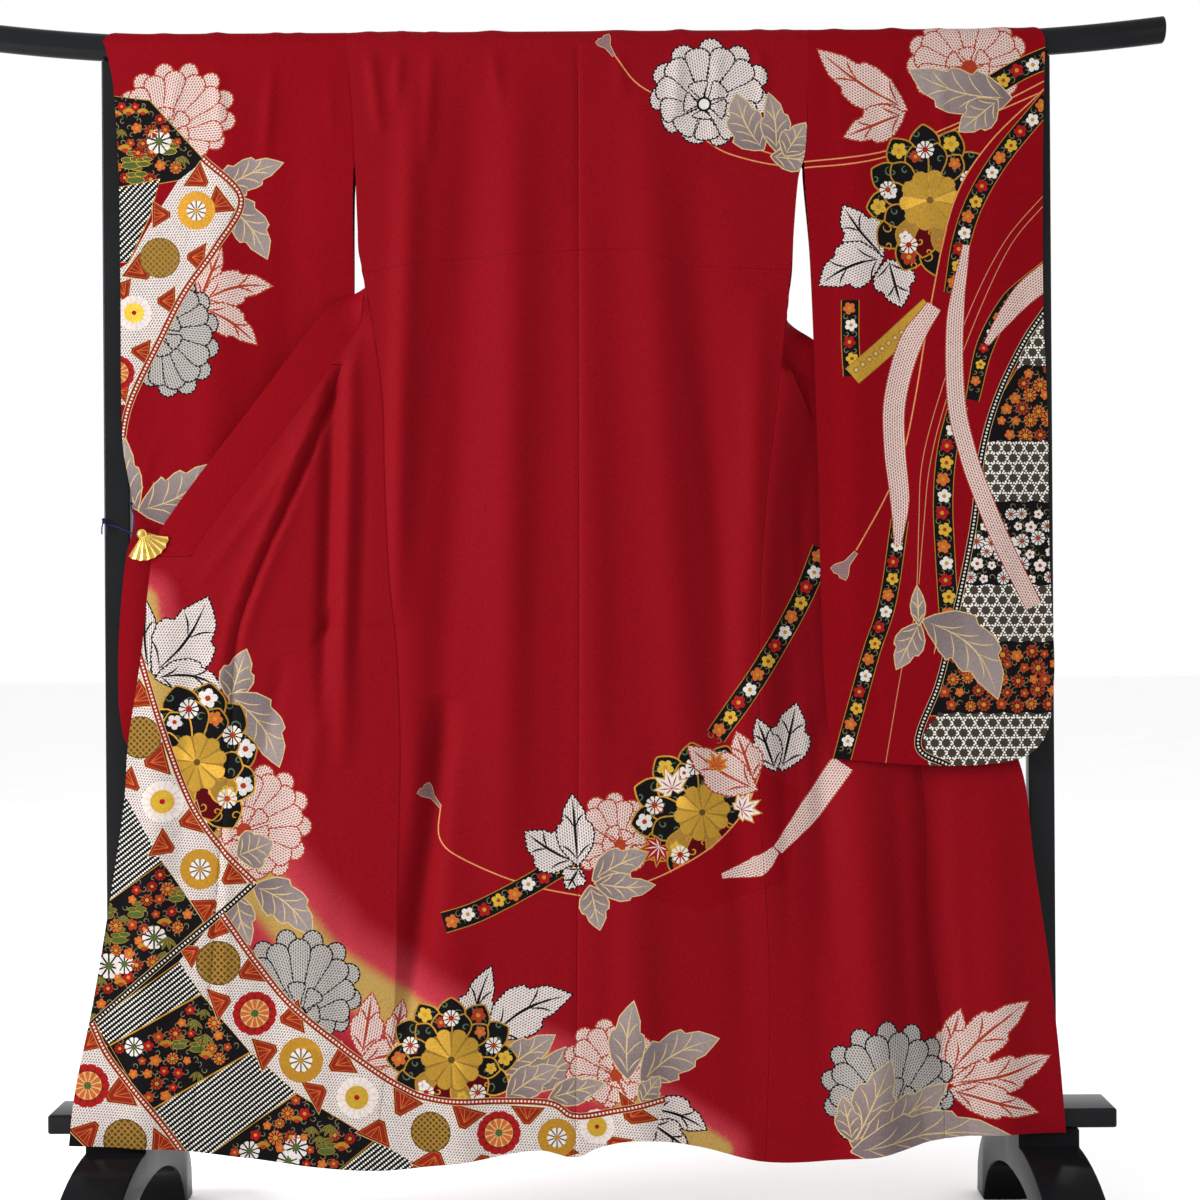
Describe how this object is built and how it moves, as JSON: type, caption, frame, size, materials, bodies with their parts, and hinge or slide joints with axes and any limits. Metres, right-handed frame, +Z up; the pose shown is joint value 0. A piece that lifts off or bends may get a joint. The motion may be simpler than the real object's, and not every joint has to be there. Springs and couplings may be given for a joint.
{
  "type": "furisode kimono on kimono stand",
  "caption": "Red long-sleeved furisode kimono with flower, leaf and tie-dye patterns, hung back to front on a black lacquered kimono stand, its left front clipped out",
  "frame": {"origin": "on the floor under the middle of the stand", "axes": "+X to the right of someone who looks at the kimono's back, +Y away from them towards the kimono's fronts, +Z up"},
  "size_m": [1.694, 0.536, 1.769],
  "materials": {
    "silk": "dyed silk crepe",
    "lacquer": "gloss black lacquer",
    "gold": "gilt",
    "cord": "twisted cord"
  },
  "bodies": {
    "root": {"back_left": "silk", "back_right": "silk", "front_left": "silk", "front_right": "silk", "okumi_left": "silk", "okumi_right": "silk", "collar": "silk", "sleeve_left": "silk", "sleeve_right": "silk", "rod": "lacquer", "upright_left": "lacquer", "upright_right": "lacquer", "base_rail": "lacquer", "foot_left": "lacquer", "foot_right": "lacquer", "clip_fan": "gold", "clip_cord": "cord", "cord_knot": "cord"}
  },
  "joints": []
}
